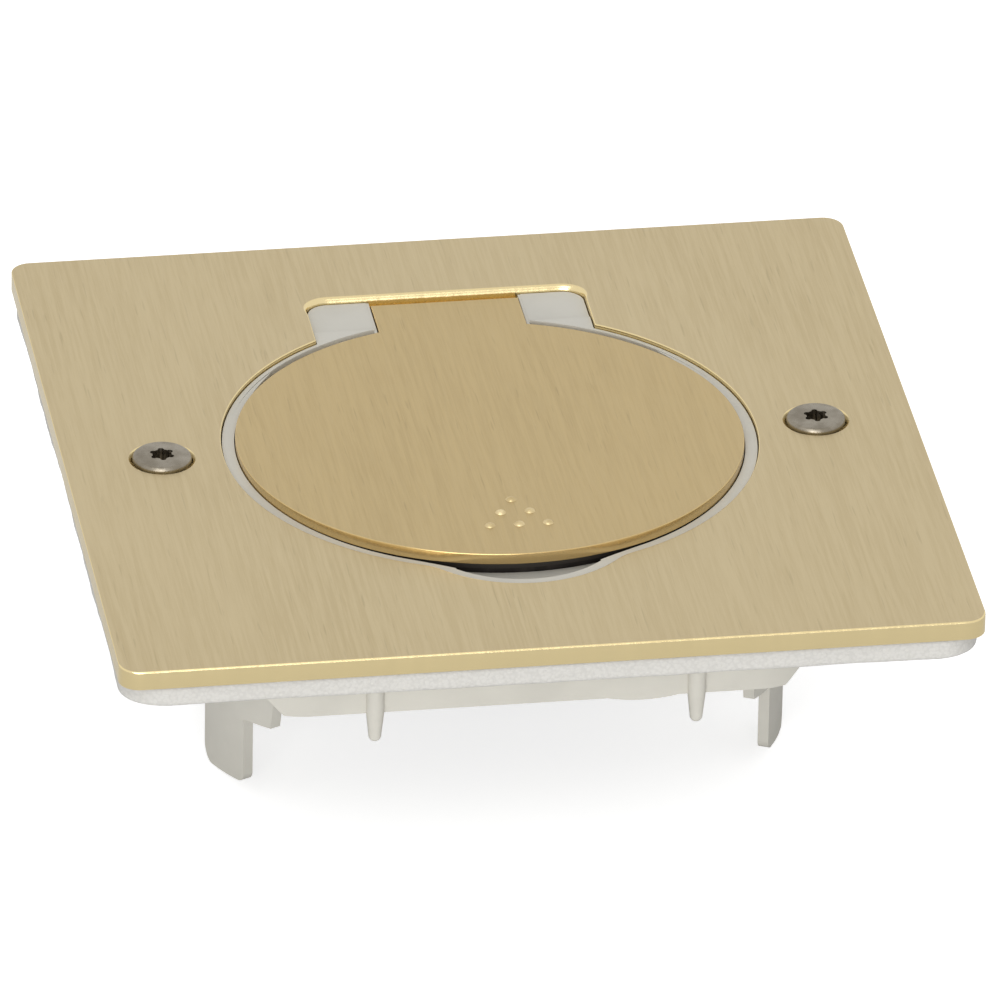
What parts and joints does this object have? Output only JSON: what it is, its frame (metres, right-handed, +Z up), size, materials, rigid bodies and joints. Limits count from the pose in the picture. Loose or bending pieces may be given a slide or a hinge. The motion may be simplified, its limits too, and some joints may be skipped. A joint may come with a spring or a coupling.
{
  "type": "floor socket box",
  "caption": "Square flush floor socket with a brushed brass cover, a hinged round lid with finger recess, and a shuttered outlet in a plastic support frame.",
  "frame": {"origin": "centre of the cover on the finished floor plane, which is the underside of the foam gasket", "axes": "+Z up out of the floor, +Y towards the lid's hinge, +X to the right when the hinge is at the back; the two cover screws lie on X"},
  "size_m": [0.1, 0.1, 0.0371],
  "materials": {
    "brushed_brass": "brushed satin, brush lines front to back",
    "white_plastic": "fine matt moulded",
    "foam": "closed-cell foam, fine grain",
    "screw_steel": "satin",
    "spring_steel": "drawn wire and strip",
    "black_rubber": "matt",
    "grey_plastic": "fine matt moulded",
    "socket_white": "satin moulded",
    "nylon": "matt",
    "contact_brass": "bright"
  },
  "bodies": {
    "base": {"cover_plate": "brushed_brass", "floor_gasket": "foam", "support_frame": "white_plastic", "collar": "white_plastic", "cover_screws": "screw_steel", "screw_retainers": "nylon", "collar_screws": "screw_steel", "hinge_pin": "spring_steel", "lid_spring": "spring_steel", "socket_face": "socket_white", "socket_body": "grey_plastic", "shutter_spring": "spring_steel", "live_contact": "contact_brass", "live_terminal": "contact_brass", "neutral_contact": "contact_brass", "neutral_terminal": "contact_brass", "earth_contact": "contact_brass", "earth_terminal": "contact_brass", "terminal_screws": "screw_steel", "body_screws": "screw_steel", "insert_clips": "spring_steel"},
    "lid": {"lid_plate": "brushed_brass", "lid_carrier": "grey_plastic", "lid_seal": "black_rubber", "lid_screws": "screw_steel"},
    "shutter": {"socket_shutter": "nylon"}
  },
  "joints": [
    {"name": "lid_hinge", "type": "hinge", "parent": "base", "child": "lid", "pos_m": [0, 0.0331, 0.0015], "axis": [-1, 0, 0], "range_deg": [-1.4, 93.6], "stiffness_Nm_per_rad": 0.02, "springref_deg": -20.05, "deforming": ["lid_spring"]},
    {"name": "shutter_slide", "type": "slide", "parent": "base", "child": "shutter", "axis": [1, 0, 0], "range_m": [0, 0.0034], "stiffness_N_per_m": 60, "springref_m": -0.002, "deforming": ["shutter_spring"]}
  ]
}
